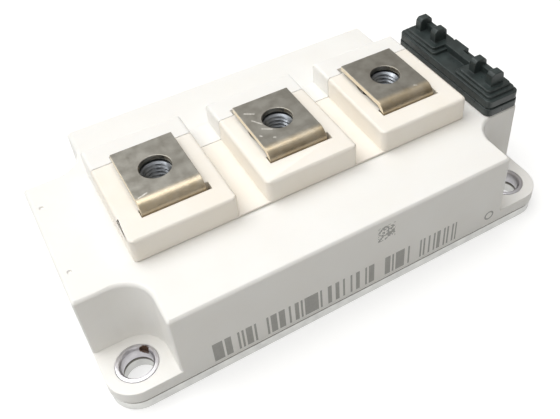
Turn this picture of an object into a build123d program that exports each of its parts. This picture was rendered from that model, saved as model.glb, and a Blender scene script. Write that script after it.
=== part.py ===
from build123d import *
import os

# Half-bridge power module in the flat 62 mm package, modelled in millimetres.
# The frame: X along the row of terminals, Y across it, Z up from the mounting face.
# The origin is the middle of the mounting face.
# The fixing holes come out 93 x 48 mm apart, and the terminals 28 mm apart.

# Base plate and housing shell
length = 106.4
width = 61.4
base_thickness = 3.0
base_inset = 0.25            # the metal edge stands back from the moulded wall
flange_thickness = 3.0
flange_radius = 6.2
shell_height = 19.4          # from the base plate to the decks
wall = 2.4
deck_thickness = 2.4
deck_edge = 0.55
shell_corner = 0.5

# Corner pockets and their fixing holes
fixing_from_end = 6.7
fixing_from_side = 6.7
fixing_hole = 6.4
sleeve_wall = 1.1
pocket_room_x = 2.35         # between a sleeve and its pocket's wall, along X
pocket_room_y = 2.2          # the same along Y, and round the corner
sleeve_gap = 0.05
sleeve_proud = 0.15

# Row of terminal blocks
row_front = 14.75            # from the middle to the front faces
row_rear = 15.45             # from the middle to the rear faces
seam_y = 8.45                # where the nut carrier meets the housing
seam_gap = 0.15
channel_width = 6.45
block_difference = 1.0       # an end block is this much wider than the middle one
floor_rise = 0.6             # channel floors above the decks
block_rise = 5.9             # block tops above the decks
block_edge = 0.45
block_corner = 1.2           # upright front corners of the blocks
foot_chamfer = 0.3
latch_groove = 0.4
latch_y = 7.8
seat_width = 1.6             # ledge of the deck that carries the nut carrier
plug_gap = 0.15
plug_depth = 6.0

# Power terminals and their nuts
terminal_inset = 0.55        # pitch of the terminals, less than that of the blocks
terminal_shift = -0.4        # the row stands this far from the middle of the housing
terminal_width = 13.6
terminal_thickness = 1.2
terminal_gap = 1.0           # under the plate, above the block
terminal_hole = 6.8
terminal_front = 9.5         # from the hole to the outer face of the leg
terminal_bend = 2.8          # outer radius of the bend
leg_width = 5.6
leg_shoulder = 2.0           # how far the full width reaches below the nut carrier
foot_length = 4.5
slot_side_gap = 0.6
slot_shift = 0.45            # the slots stand this far to the right of the strips
slot_front_gap = 0.3
slot_depth = 2.2
rear_recess = 2.8
recess_shift = -0.3
rear_recess_depth = 2.0
nut_flats = 10.0
nut_height = 5.0
nut_bore = 5.0
nut_chamfer = 0.5
nut_gap = 0.3                # between nut and plate until the screw draws it up
nut_side_gap = 0.15
dish_radius = 6.55
dish_depth = 0.8
screw_well = 6.8
screw_well_depth = 5.5

# Control tabs
tab_width = 2.8
tab_thickness = 0.5
tab_from_end = 4.6
tab_from_side = 4.0          # from the side of the deck to the outer tabs
tab_pair = 6.0               # from an outer tab to its neighbour
tab_height = 8.1             # above the deck
tab_slot_gap = 0.1
lead_width = 2.0
lead_drop = 4.0              # lead's underside above the tracks

# Shorting cap over the control tabs
cap_from_block = 4.05        # clear of the end block's wall
cap_overhang = 0.1           # past the edges of the deck at the pockets
cap_corner = 1.5
cap_skirt = 2.0
cap_groove = 0.3
cap_groove_depth = 0.4
cap_body = 1.9
cap_body_inset = 0.15
cap_tier = 0.8               # height of each of the two tiers of a hump
cap_tier_side = 0.55         # how far each tier steps in along X
cap_tier_end = 0.9           # how far each tier steps in along Y
hump_lead = 3.6              # from an inner tab back to the foot of its hump
ear_side = 0.35              # plastic beside a tab's edge
ear_face = 0.75              # plastic on a tab's faces
ear_cover = 1.0              # plastic over a tab's tip
ear_edge = 0.65
saddle_drop = 1.7            # wall between two ears, below their tips
saddle_wall = 1.5
rib_width = 1.8
rib_half = 4.8               # from the middle to the ends of the rib
rib_rise = 1.8               # above the cap's body
rib_shelf = 1.8
cap_tab_gap = 0.1
cap_tip_gap = 0.2

# Marks that the mould leaves on the end deck
pin_mark = 0.9
pin_mark_depth = 0.3
pin_mark_y = 9.8
pin_mark_from_end = 2.0

# Substrates and chips
substrate_y = 46.0
substrate_end_gap = 0.95     # to the wall between cavity and pocket
substrate_spacing = 1.0      # between the two substrates
copper = 0.3
ceramic = 0.4
track_margin = 0.6
track_split = 0.8
split_y = -2.4               # middle of the gap between the two power tracks
pad_x = 2.5
pad_y = 3.8
chip_thickness = 0.2
chip_gap = 4.85              # between two IGBT chips
igbt_depth = 11.0
diode_size = 8.0
igbt_y = 4.2
diode_y = 15.6
wire = 0.4
foot_reach = 0.8             # from a track's edge to the wires' first feet
wire_pitch = 3.6
wires_per_chip = 2
loop_rise = 2.0
loop_slope = 0.25            # share of a loop's length on either slope
link_diameter = 1.2
link_rise = 5.5
link_bend = 2.0
gel_depth = 8.0

# Heights that follow from the sizes above
base_top = base_thickness
deck_top = base_top + shell_height
deck_underside = deck_top - deck_thickness
block_top = deck_top + block_rise
plate_underside = block_top + terminal_gap
plate_top = plate_underside + terminal_thickness
track_top = base_top + copper + ceramic + copper
chip_top = track_top + chip_thickness

# Places and sizes that follow from the sizes above
fixing_x = length - 2 * fixing_from_end
fixing_y = width - 2 * fixing_from_side
sleeve_diameter = fixing_hole + 2 * sleeve_wall
pocket_x = fixing_from_end + sleeve_diameter / 2 + pocket_room_x
pocket_y = fixing_from_side + sleeve_diameter / 2 + pocket_room_y
pocket_radius = sleeve_diameter / 2 + pocket_room_y
row_half = length / 2 - pocket_x
deck_half = width / 2 - pocket_y
end_block_width = (2 * row_half - 2 * channel_width + block_difference) / 3
mid_block_width = end_block_width - block_difference
end_block_x = row_half - end_block_width / 2
blocks = [(-end_block_x, end_block_width), (0, mid_block_width), (end_block_x, end_block_width)]
terminal_pitch = end_block_x - terminal_inset
terminal_places = [terminal_shift + terminal_pitch * step for step in (-1, 0, 1)]
tab_x = length / 2 - tab_from_end
tab_outer_y = deck_half - tab_from_side
tab_inner_y = tab_outer_y - tab_pair
tab_places = [-tab_outer_y, -tab_inner_y, tab_inner_y, tab_outer_y]
carrier_rear = seam_y - seam_gap
carrier_y = (carrier_rear - row_front) / 2
carrier_depth = carrier_rear + row_front
plug_step = 2 * (seat_width + plug_gap)
nut_top = plate_underside - nut_gap
nut_bottom = nut_top - nut_height

os.makedirs("parts", exist_ok=True)
pieces = []


def finish(piece, name):
    """Name a finished solid and write it to its own file."""
    piece.label = name
    export_step(piece, f"parts/{name}.step")
    pieces.append(piece)


# Outline of the walls: the rectangle less its four corner pockets
with BuildSketch() as shell_outline:
    Rectangle(length, width)
    with GridLocations(length - pocket_x, width - pocket_y, 2, 2):
        Rectangle(pocket_x, pocket_y, mode=Mode.SUBTRACT)
    chamfer(shell_outline.vertices().sort_by_distance((0, 0, 0))[4:], shell_corner)
    fillet(shell_outline.vertices().sort_by_distance((0, 0, 0))[:4], pocket_radius)

# Outline of the space inside those walls
with BuildSketch() as cavity_outline:
    add(shell_outline.sketch)
    offset(amount=-wall, mode=Mode.REPLACE)

# Base plate
with BuildPart() as base_plate:
    with BuildSketch():
        RectangleRounded(length - 2 * base_inset, width - 2 * base_inset, flange_radius - base_inset)
        with GridLocations(fixing_x, fixing_y, 2, 2):
            Circle(fixing_hole / 2, mode=Mode.SUBTRACT)
    extrude(amount=base_thickness)
finish(base_plate.part, "base_plate")

# Housing
with BuildPart() as housing:
    with BuildSketch(Plane.XY.offset(base_top)):
        add(shell_outline.sketch)
    extrude(amount=shell_height)
    chamfer(housing.faces().sort_by(Axis.Z)[-1].edges(), deck_edge)
    with BuildSketch(Plane.XY.offset(base_top)):
        RectangleRounded(length, width, flange_radius)
    extrude(amount=flange_thickness)
    # Rear halves of the three blocks, and the floor between them
    with BuildSketch(Plane.XY.offset(deck_top)):
        with Locations((0, (seam_y + row_rear) / 2)):
            Rectangle(2 * row_half, row_rear - seam_y)
    extrude(amount=floor_rise)
    for block_x, block_width in blocks:
        with BuildSketch(Plane.XY.offset(deck_top)):
            with Locations((block_x, (seam_y + row_rear) / 2)):
                Rectangle(block_width, row_rear - seam_y)
        extrude(amount=block_rise)
    rims = housing.faces().sort_by(Axis.Z)[-len(blocks):].edges().sort_by(Axis.Y)
    chamfer(rims[len(blocks):], block_edge)
    # The space over the substrates, and the opening that the nut carrier closes
    with BuildSketch(Plane.XY.offset(base_top)):
        add(cavity_outline.sketch)
    extrude(amount=deck_underside - base_top, mode=Mode.SUBTRACT)
    with BuildSketch(Plane.XY.offset(deck_underside)):
        with Locations((0, carrier_y)):
            Rectangle(2 * (row_half - seat_width), carrier_depth - 2 * seat_width)
    extrude(amount=deck_thickness, mode=Mode.SUBTRACT)
    # Seats of the sleeves and slots of the control tabs
    with BuildSketch(Plane.XY.offset(base_top)):
        with GridLocations(fixing_x, fixing_y, 2, 2):
            Circle(sleeve_diameter / 2 + sleeve_gap)
    extrude(amount=flange_thickness, mode=Mode.SUBTRACT)
    with BuildSketch(Plane.XY.offset(deck_underside)):
        with Locations(*[(tab_x, y) for y in tab_places]):
            Rectangle(tab_width + 2 * tab_slot_gap, tab_thickness + 2 * tab_slot_gap)
    extrude(amount=deck_thickness, mode=Mode.SUBTRACT)
    # Two pin marks of the mould on the end deck
    with BuildSketch(Plane.XY.offset(deck_top)):
        with Locations(*[(-length / 2 + pin_mark_from_end, y) for y in (-pin_mark_y, pin_mark_y)]):
            Circle(pin_mark / 2)
    extrude(amount=-pin_mark_depth, mode=Mode.SUBTRACT)
    # Recess behind each terminal's free end
    with BuildSketch(Plane.XY.offset(block_top)):
        with Locations(*[(x + recess_shift, seam_y + rear_recess / 2) for x in terminal_places]):
            Rectangle(terminal_width + 2 * slot_side_gap, rear_recess)
    extrude(amount=-rear_recess_depth, mode=Mode.SUBTRACT)
finish(housing.part, "housing")

# Nut carrier: channel floors, front parts of the blocks and the plug under them
with BuildPart() as nut_carrier:
    for place, across, rise in [(0, 2 * row_half, floor_rise)] + [(*block, block_rise) for block in blocks]:
        with BuildSketch(Plane.XY.offset(deck_top)) as outline:
            with Locations((place, carrier_y)):
                Rectangle(across, carrier_depth)
            fillet(outline.vertices().sort_by(Axis.Y)[:2], block_corner)
        extrude(amount=rise)
    rims = nut_carrier.faces().sort_by(Axis.Z)[-len(blocks):].edges().sort_by(Axis.Y)
    chamfer(rims[:-len(blocks)], block_edge)
    feet = nut_carrier.faces().sort_by(Axis.Z)[0].edges().sort_by(Axis.Y)
    chamfer(feet[:-1], foot_chamfer)
    with BuildSketch(Plane.XY.offset(deck_top)):
        with Locations((0, carrier_y)):
            Rectangle(2 * row_half - plug_step, carrier_depth - plug_step)
    extrude(amount=-plug_depth)
    # Grooves of the side latches on the end walls
    with BuildSketch(Plane.XY.offset(deck_top)):
        with Locations((-row_half, -latch_y), (row_half, -latch_y)):
            Rectangle(2 * latch_groove, latch_groove)
    extrude(amount=block_rise, mode=Mode.SUBTRACT)
    # Round dish, hexagon pocket and screw well under each terminal
    with BuildSketch(Plane.XY.offset(block_top)):
        with Locations(*[(x, 0) for x in terminal_places]):
            Circle(dish_radius)
    extrude(amount=-dish_depth, mode=Mode.SUBTRACT)
    with BuildSketch(Plane.XY.offset(nut_bottom)):
        with Locations(*[(x, 0) for x in terminal_places]):
            RegularPolygon(nut_flats / 2 + nut_side_gap, 6, major_radius=False)
    extrude(amount=nut_height, mode=Mode.SUBTRACT)
    with BuildSketch(Plane.XY.offset(nut_bottom)):
        with Locations(*[(x, 0) for x in terminal_places]):
            Circle(screw_well / 2)
    extrude(amount=-screw_well_depth, mode=Mode.SUBTRACT)
    # Slots that the terminals' legs come up through
    with BuildSketch(Plane.XY.offset(deck_top - plug_depth)):
        slot_y = -terminal_front - slot_front_gap + slot_depth / 2
        with Locations(*[(x + slot_shift, slot_y) for x in terminal_places]):
            Rectangle(terminal_width + 2 * slot_side_gap, slot_depth)
    extrude(amount=plug_depth + block_rise, mode=Mode.SUBTRACT)
finish(nut_carrier.part, "nut_carrier")

# Mounting sleeves, pressed into the corner flanges and standing on the base plate
with BuildPart() as mount_sleeve:
    with BuildSketch(Plane.XY.offset(base_top)):
        Circle(sleeve_diameter / 2)
        Circle(fixing_hole / 2, mode=Mode.SUBTRACT)
    extrude(amount=flange_thickness + sleeve_proud)
for number, place in enumerate(GridLocations(fixing_x, fixing_y, 2, 2), 1):
    finish(mount_sleeve.part.moved(place), f"mount_sleeve_{number}")

# Power terminal: a strip that rises from the tracks and is bent flat over its nut
with BuildPart() as terminal:
    half = terminal_thickness / 2
    with BuildLine(Plane.YZ) as route:
        FilletPolyline(
            (-terminal_front + foot_length, track_top + half),
            (-terminal_front + half, track_top + half),
            (-terminal_front + half, plate_top - half),
            (carrier_rear, plate_top - half),
            radius=terminal_bend - half,
        )
    with BuildSketch(Plane.XZ.offset(terminal_front - foot_length)):
        with Locations((0, track_top + half)):
            Rectangle(terminal_width, terminal_thickness)
    sweep(path=route.line)
    # The leg is narrower below the nut carrier
    shoulder = deck_top - plug_depth - leg_shoulder
    for side in (-1, 1):
        with BuildSketch(Plane.XZ.offset(terminal_front)):
            with Locations((side * (leg_width + terminal_width) / 4, (track_top + shoulder) / 2)):
                Rectangle((terminal_width - leg_width) / 2, shoulder - track_top)
        extrude(amount=-foot_length, mode=Mode.SUBTRACT)
    with BuildSketch(Plane.XY.offset(plate_underside)):
        Circle(terminal_hole / 2)
    extrude(amount=terminal_thickness, mode=Mode.SUBTRACT)
for number, x in enumerate(terminal_places, 1):
    finish(terminal.part.moved(Location((x, 0, 0))), f"terminal_{number}")

# Captive nut: hexagon with chamfered corners
with BuildPart() as terminal_nut:
    with BuildSketch(Plane.XY.offset(nut_bottom)):
        RegularPolygon(nut_flats / 2, 6, major_radius=False)
        Circle(nut_bore / 2, mode=Mode.SUBTRACT)
    extrude(amount=nut_height)
    with BuildSketch(Plane.XZ):
        with BuildLine():
            Polyline(
                (nut_flats / 2, nut_top),
                (nut_flats / 2 + 2 * nut_chamfer, nut_top),
                (nut_flats / 2 + 2 * nut_chamfer, nut_top - nut_chamfer),
                (nut_flats / 2, nut_top),
            )
        make_face()
    revolve(axis=Axis.Z, mode=Mode.SUBTRACT)
for number, x in enumerate(terminal_places, 1):
    finish(terminal_nut.part.moved(Location((x, 0, 0))), f"terminal_nut_{number}")

# Control tabs: flat blanks with a lead to their pads
pad_place = row_half - wall - substrate_end_gap - track_margin - pad_x / 2
with BuildPart() as control_tab:
    lead_bottom = track_top + lead_drop
    with BuildSketch(Plane.XZ):
        with BuildLine():
            Polyline(
                (tab_x - tab_width / 2, deck_top + tab_height),
                (tab_x + tab_width / 2, deck_top + tab_height),
                (tab_x + tab_width / 2, lead_bottom),
                (pad_place + lead_width / 2, lead_bottom),
                (pad_place + lead_width / 2, track_top),
                (pad_place - lead_width / 2, track_top),
                (pad_place - lead_width / 2, lead_bottom + lead_width),
                (tab_x - tab_width / 2, lead_bottom + lead_width),
                close=True,
            )
        make_face()
    extrude(amount=tab_thickness / 2, both=True)
    tips = control_tab.faces().sort_by(Axis.Z)[-1].edges().filter_by(Axis.Y)
    chamfer(tips, tab_thickness)
for number, y in enumerate(tab_places, 1):
    finish(control_tab.part.moved(Location((0, y, 0))), f"control_tab_{number}")

# Substrates: ceramic between a copper underside and etched tracks, mirrored about the middle
substrate_x = row_half - wall - substrate_end_gap - substrate_spacing / 2
substrate_place = (substrate_x + substrate_spacing) / 2
track_y = substrate_y / 2 - track_margin
field_x = substrate_x - 3 * track_margin - pad_x
field_place = substrate_spacing / 2 + track_margin + field_x / 2
igbt_width = field_x / 2 - chip_gap
chip_places = [field_place - field_x / 4, field_place + field_x / 4]
front_end = split_y - track_split / 2
rear_end = split_y + track_split / 2
with BuildPart() as substrate:
    with BuildSketch(Plane.XY.offset(base_top + copper)):
        with Locations((substrate_place, 0)):
            Rectangle(substrate_x, substrate_y)
    extrude(amount=ceramic)
with BuildPart() as base_copper:
    with BuildSketch(Plane.XY.offset(base_top)):
        with Locations((substrate_place, 0)):
            Rectangle(substrate_x - 2 * track_margin, substrate_y - 2 * track_margin)
    extrude(amount=copper)
with BuildPart() as tracks:
    with BuildSketch(Plane.XY.offset(track_top - copper)):
        with Locations((field_place, (front_end - track_y) / 2)):
            Rectangle(field_x, front_end + track_y)
        with Locations((field_place, (rear_end + track_y) / 2)):
            Rectangle(field_x, track_y - rear_end)
        with Locations(*[(pad_place, y) for y in tab_places]):
            Rectangle(pad_x, pad_y)
    extrude(amount=copper)
for piece, name in ((substrate, ""), (base_copper, "_base_copper"), (tracks, "_tracks")):
    finish(mirror(piece.part, about=Plane.YZ), f"substrate_1{name}")
    finish(piece.part, f"substrate_2{name}")

# Chips, soldered on the rear field of each substrate
for name, chip_width, chip_depth, y in (
    ("igbt_chip", igbt_width, igbt_depth, igbt_y),
    ("diode_chip", diode_size, diode_size, diode_y),
):
    with BuildPart() as chip:
        with BuildSketch(Plane.XY.offset(track_top)):
            with Locations((0, y)):
                Rectangle(chip_width, chip_depth)
        extrude(amount=chip_thickness)
    for number, x in enumerate([-chip_places[1], -chip_places[0], *chip_places], 1):
        finish(chip.part.moved(Location((x, 0, 0))), f"{name}_{number}")


def bond_loop(start_y, start_z, end_y, end_z):
    """One aluminium wire about the plane X = 0 that stands on both its ends."""
    crest = max(start_z, end_z) + loop_rise
    slope = (end_y - start_y) * loop_slope
    with BuildPart() as loop:
        with BuildSketch(Plane.YZ):
            with BuildLine():
                Polyline(
                    (start_y, start_z),
                    (start_y + slope, crest),
                    (end_y - slope, crest),
                    (end_y, end_z),
                    (end_y - wire, end_z),
                    (end_y - slope - wire, crest - wire),
                    (start_y + slope + wire, crest - wire),
                    (start_y + wire, start_z),
                    close=True,
                )
            make_face()
        extrude(amount=wire / 2, both=True)
    return loop.part


# Bond wires: from the front field to each IGBT chip, and on from there to its diode
first_loop = bond_loop(front_end - foot_reach, track_top, igbt_y - igbt_depth / 4, chip_top)
second_loop = bond_loop(igbt_y + igbt_depth / 4, chip_top, diode_y - diode_size / 4, chip_top)
for number, side in enumerate((-1, 1), 1):
    with BuildPart() as bond_wires:
        for chip_x in chip_places:
            for step in range(wires_per_chip):
                x = side * chip_x + (step - (wires_per_chip - 1) / 2) * wire_pitch
                add(first_loop.moved(Location((x, 0, 0))))
                add(second_loop.moved(Location((x, 0, 0))))
    finish(bond_wires.part, f"bond_wires_{number}")

# Insulated links from the far substrate's pads to the tabs on the rear half
for number, y in enumerate((tab_inner_y, tab_outer_y), 1):
    link_y = y + pad_y / 2 - link_diameter / 2
    with BuildPart() as gate_link:
        with BuildLine(Plane.XZ.offset(-link_y)) as route:
            Polyline(
                (-pad_place, track_top),
                (-pad_place, track_top + link_rise - link_bend),
                (-pad_place + link_bend, track_top + link_rise),
                (pad_place - link_bend, track_top + link_rise),
                (pad_place, track_top + link_rise - link_bend),
                (pad_place, track_top),
            )
        with BuildSketch(Plane.XY.offset(track_top)):
            with Locations((-pad_place, link_y)):
                RegularPolygon(link_diameter / 2, 6)
        sweep(path=route.line, transition=Transition.RIGHT)
    finish(gate_link.part, f"gate_link_{number}")

# Shorting cap: a stepped body with two humps, each with an ear over either of its tabs
cap_left = row_half + cap_from_block
cap_right = length / 2
cap_half = deck_half + cap_overhang
hump_start = tab_inner_y - hump_lead
cap_x = (cap_left + cap_right) / 2
cap_width = cap_right - cap_left
skirt_top = deck_top + cap_skirt
body_bottom = skirt_top + cap_groove
body_top = body_bottom + cap_body
tier_top = body_top + 2 * cap_tier
tab_tip = deck_top + tab_height
ear_top = tab_tip + ear_cover
ear_x = tab_width + 2 * ear_side
ear_y = tab_thickness + 2 * ear_face
with BuildPart() as shorting_cap:
    for bottom, top, inset in (
        (deck_top, skirt_top, 0),
        (skirt_top, body_bottom, cap_groove_depth),
        (body_bottom, body_top, cap_body_inset),
    ):
        with BuildSketch(Plane.XY.offset(bottom)):
            with Locations((cap_x, 0)):
                RectangleRounded(cap_width - 2 * inset, 2 * (cap_half - inset), cap_corner - inset)
        extrude(amount=top - bottom)
    # Two tiers of each hump
    for tier in (1, 2):
        for side in (-1, 1):
            inset_x = cap_body_inset + tier * cap_tier_side
            near_y = hump_start + (tier - 1) * cap_tier_end
            far_y = cap_half - cap_body_inset - tier * cap_tier_end
            with BuildSketch(Plane.XY.offset(body_top + (tier - 1) * cap_tier)):
                with Locations((cap_x, side * (near_y + far_y) / 2)):
                    RectangleRounded(cap_width - 2 * inset_x, far_y - near_y, cap_corner - cap_tier_side)
            extrude(amount=cap_tier)
    # Ears over the tabs, and the saddle wall between them
    for side in (-1, 1):
        with BuildSketch(Plane.XY.offset(tier_top)):
            with Locations((tab_x, side * tab_inner_y), (tab_x, side * tab_outer_y)):
                Rectangle(ear_x, ear_y)
        extrude(amount=ear_top - tier_top)
        with BuildSketch(Plane.XY.offset(tier_top)):
            with Locations((tab_x + (ear_x - saddle_wall) / 2, side * (tab_inner_y + tab_outer_y) / 2)):
                Rectangle(saddle_wall, tab_outer_y - tab_inner_y)
        extrude(amount=ear_top - saddle_drop - tier_top)
    tips = shorting_cap.faces().sort_by(Axis.Z)[-len(tab_places):].edges().filter_by(Axis.Y)
    chamfer(tips, ear_edge)
    # Rib along the middle, with its lower shelf on one half
    rib_x = tab_x + rib_width / 2
    with BuildSketch(Plane.XY.offset(body_top)):
        with Locations((rib_x, 0)):
            Rectangle(rib_width, 2 * rib_half)
        with Locations((rib_x + (rib_width + rib_shelf) / 2, rib_half / 2)):
            Rectangle(rib_shelf, rib_half)
    extrude(amount=rib_rise)
    # Slots that grip the tabs
    with BuildSketch(Plane.XY.offset(deck_top)):
        with Locations(*[(tab_x, y) for y in tab_places]):
            Rectangle(tab_width + 2 * cap_tab_gap, tab_thickness + 2 * cap_tab_gap)
    extrude(amount=tab_height + cap_tip_gap, mode=Mode.SUBTRACT)
finish(shorting_cap.part, "shorting_cap")

# Silicone gel, poured over the chips and wires up to a level inside the housing
gel_fill = [piece for piece in pieces if piece.label.startswith(
    ("terminal_1", "terminal_2", "terminal_3", "control_tab", "substrate", "igbt", "diode", "bond", "gate")
)]
with BuildPart() as silicone_gel:
    with BuildSketch(Plane.XY.offset(base_top)):
        add(cavity_outline.sketch)
    extrude(amount=gel_depth)
    for piece in gel_fill:
        add(piece, mode=Mode.SUBTRACT)
finish(silicone_gel.part, "silicone_gel")
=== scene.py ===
"""Dresses the power module: moulded housing, plated terminals, captive nuts, sleeves and shorting cap."""

import logging
import math
from dataclasses import dataclass, field
from enum import Enum
from typing import Any, Iterable, Mapping, Sequence

import bmesh
import bpy
from bmesh.types import BMEdge, BMesh
from bpy.types import Material, Node, NodeSocket, NodeTree, Object
from mathutils import Matrix, Vector


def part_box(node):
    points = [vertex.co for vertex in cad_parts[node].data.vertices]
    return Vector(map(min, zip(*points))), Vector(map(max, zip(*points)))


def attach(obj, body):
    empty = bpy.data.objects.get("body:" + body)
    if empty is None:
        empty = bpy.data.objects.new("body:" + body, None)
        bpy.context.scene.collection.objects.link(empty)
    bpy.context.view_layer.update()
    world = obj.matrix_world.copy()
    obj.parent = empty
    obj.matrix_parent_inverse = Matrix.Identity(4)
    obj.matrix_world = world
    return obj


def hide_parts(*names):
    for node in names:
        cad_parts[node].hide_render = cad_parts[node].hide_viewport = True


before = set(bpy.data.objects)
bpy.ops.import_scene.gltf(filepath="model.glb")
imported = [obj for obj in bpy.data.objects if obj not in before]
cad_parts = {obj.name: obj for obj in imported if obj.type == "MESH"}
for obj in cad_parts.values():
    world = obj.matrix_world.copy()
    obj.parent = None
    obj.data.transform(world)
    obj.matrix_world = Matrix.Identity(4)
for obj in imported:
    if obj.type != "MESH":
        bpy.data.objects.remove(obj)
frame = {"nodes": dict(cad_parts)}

Triple = tuple[float, float, float]
Quad = tuple[float, float, float, float]

LOG = logging.getLogger("power_module")
BODY = "root"
MM = 0.001
WELD = 0.002        # points closer than this are one, in millimetres
FLAT = 0.5          # faces that turn less than this are one, in degrees
SHARP = 28          # edges that turn more than this are bevels, in degrees
STEEP = 60          # edges that turn more than this are plain corners, in degrees
SMOOTH = 180        # no edge turns more than this, in degrees
ROOM = 2.2          # an edge takes a round if it has this many radii of room
ALONG = 0.9         # cosine above which two edges run the same way


class Edge(Enum):
    """How a piece's edges were made: the round laid on its bevels and on its plain corners, in millimetres."""

    MOULDED = (0.28, 0.08)
    MOULDED_SOFT = (0.2, 0.18)
    STAMPED = (0.1, 0.14)
    PRESSED = (0.12, 0.15)


def linear(code: str) -> Quad:
    """Turn an sRGB hex colour into the linear colour that a socket takes.

    Args:
        code: six hex digits after a hash sign.

    Returns:
        Red, green, blue and alpha from 0 to 1.
    """
    parts = [int(code[place : place + 2], 16) / 255 for place in (1, 3, 5)]
    red, green, blue = (part / 12.92 if part <= 0.04045 else ((part + 0.055) / 1.055) ** 2.4 for part in parts)
    return red, green, blue, 1.0


def per_mm(size: float) -> float:
    """Give the scale at which a texture's pattern repeats about every size millimetres."""
    return 1 / (size * MM)


@dataclass(frozen=True)
class Graph:
    """The node tree of a material or of the world, with the patterns and sums that finishes are made of."""

    tree: NodeTree

    def add(
        self,
        kind: str,
        settings: Mapping[str | int, Any] | None = None,
        links: Mapping[str | int, NodeSocket] | None = None,
        stops: Sequence[tuple[float, tuple[float, ...]]] = (),
    ) -> Node:
        """Add a node with its settings and links.

        Args:
            kind: Blender's name for the node.
            settings: values by socket name, socket number or property name.
            links: output sockets of other nodes, by this node's socket name or number.
            stops: places and linear colours of a colour ramp.

        Returns:
            The new node.
        """
        node = self.tree.nodes.new(kind)
        for key, value in (settings or {}).items():
            if isinstance(key, int) or key in node.inputs:
                node.inputs[key].default_value = value
            else:
                setattr(node, key, value)
        for key, source in (links or {}).items():
            self.tree.links.new(source, node.inputs[key])
        if stops:
            elements = node.color_ramp.elements
            while len(elements) < len(stops):
                elements.new(0.5)
            for element, (place, colour) in zip(elements, stops):
                element.position = place
                element.color = colour
        return node

    def place(self) -> NodeSocket:
        """Give the place on the object, in metres."""
        return self.add("ShaderNodeTexCoord").outputs["Object"]

    def axes(self, vector: NodeSocket) -> Mapping[str, NodeSocket]:
        """Split a place or a normal into its X, Y and Z."""
        return self.add("ShaderNodeSeparateXYZ", links={"Vector": vector}).outputs

    def stretched(self, place: NodeSocket, scale: Sequence[float]) -> NodeSocket:
        """Give the place with each axis scaled, so that a pattern read there is drawn out into lines."""
        return self.add("ShaderNodeMapping", {"Scale": scale}, {"Vector": place}).outputs[0]

    def noise(self, place: NodeSocket, size: float, detail: float = 3.0) -> NodeSocket:
        """Give a cloudy pattern from 0 to 1.

        Args:
            place: where the pattern is read.
            size: distance between two clouds, in millimetres.
            detail: how many finer layers lie on it.

        Returns:
            The pattern's value.
        """
        settings = {"Scale": per_mm(size), "Detail": detail, "Roughness": 0.55}
        return self.add("ShaderNodeTexNoise", settings, {"Vector": place}).outputs["Fac"]

    def ramp(self, value: NodeSocket, *stops: tuple[float, str]) -> NodeSocket:
        """Turn a value into a colour.

        Args:
            value: number from 0 to 1.
            stops: places and sRGB hex colours.

        Returns:
            The colour.
        """
        colours = [(place, linear(code)) for place, code in stops]
        return self.add("ShaderNodeValToRGB", links={"Fac": value}, stops=colours).outputs["Color"]

    def levels(self, value: NodeSocket, low: float, high: float) -> NodeSocket:
        """Stretch a pattern so that it runs between two numbers.

        Args:
            value: pattern from 0 to 1.
            low: result where the pattern is weak.
            high: result where it is strong.

        Returns:
            The stretched value.
        """
        settings = {"From Min": 0.3, "From Max": 0.7, "To Min": low, "To Max": high}
        return self.add("ShaderNodeMapRange", settings, {"Value": value}).outputs["Result"]

    def rise(self, value: NodeSocket, start: float, end: float) -> NodeSocket:
        """Turn a distance into a share that grows from 0 to 1 between two distances.

        Args:
            value: the distance, in metres.
            start: distance at which the share is 0, in millimetres.
            end: distance at which it is 1.

        Returns:
            The share.
        """
        settings = {"From Min": start * MM, "From Max": end * MM}
        return self.add("ShaderNodeMapRange", settings, {"Value": value}).outputs["Result"]

    def soft_edges(self, radius: float) -> NodeSocket:
        """Give the surface normal with every edge softened by a radius in millimetres."""
        settings = {"samples": 8, "Radius": radius * MM}
        return self.add("ShaderNodeBevel", settings).outputs["Normal"]

    def bump(self, height: NodeSocket, depth: float, under: NodeSocket | None = None) -> NodeSocket:
        """Turn a height into a surface normal.

        Args:
            height: pattern from 0 to 1.
            depth: how deep the pattern is cut, in millimetres.
            under: normal of a coarser pattern or of softened edges that this one lies on.

        Returns:
            The normal.
        """
        links = {"Height": height}
        if under is not None:
            links["Normal"] = under
        settings = {"Strength": 1.0, "Distance": depth * MM}
        return self.add("ShaderNodeBump", settings, links).outputs["Normal"]

    def blend(self, share: NodeSocket, under: NodeSocket, over: NodeSocket | str) -> NodeSocket:
        """Lay one colour over another.

        Args:
            share: 0 where the lower colour shows, 1 where the upper one does.
            under: the lower colour.
            over: the upper colour, from a node or as an sRGB hex colour.

        Returns:
            The mixed colour.
        """
        settings: dict[str | int, Any] = {"data_type": "RGBA"}
        links = {0: share, 6: under}
        if isinstance(over, str):
            settings[7] = linear(over)
        else:
            links[7] = over
        return self.add("ShaderNodeMix", settings, links).outputs[2]

    def math(self, operation: str, *values: NodeSocket | float) -> NodeSocket:
        """Do one sum on numbers and pattern values.

        Args:
            operation: Blender's name for the sum.
            values: numbers or outputs of other nodes.

        Returns:
            The result.
        """
        fixed = {place: value for place, value in enumerate(values) if isinstance(value, (int, float))}
        linked = {place: value for place, value in enumerate(values) if not isinstance(value, (int, float))}
        return self.add("ShaderNodeMath", {"operation": operation, **fixed}, linked).outputs[0]


@dataclass(frozen=True)
class Finish:
    """What all finishes share: a name, and a node tree that ends in one surface."""

    name: str

    def surface(self, graph: Graph) -> Node:
        """Build the nodes of the surface and return its shader."""
        raise NotImplementedError

    def material(self) -> Material:
        """Make the material, with its shader joined to the output.

        Returns:
            The finished material.
        """
        material = bpy.data.materials.new(self.name)
        material.use_nodes = True
        material.node_tree.nodes.clear()
        graph = Graph(material.node_tree)
        graph.add("ShaderNodeOutputMaterial", links={"Surface": self.surface(graph).outputs[0]})
        return material


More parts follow.
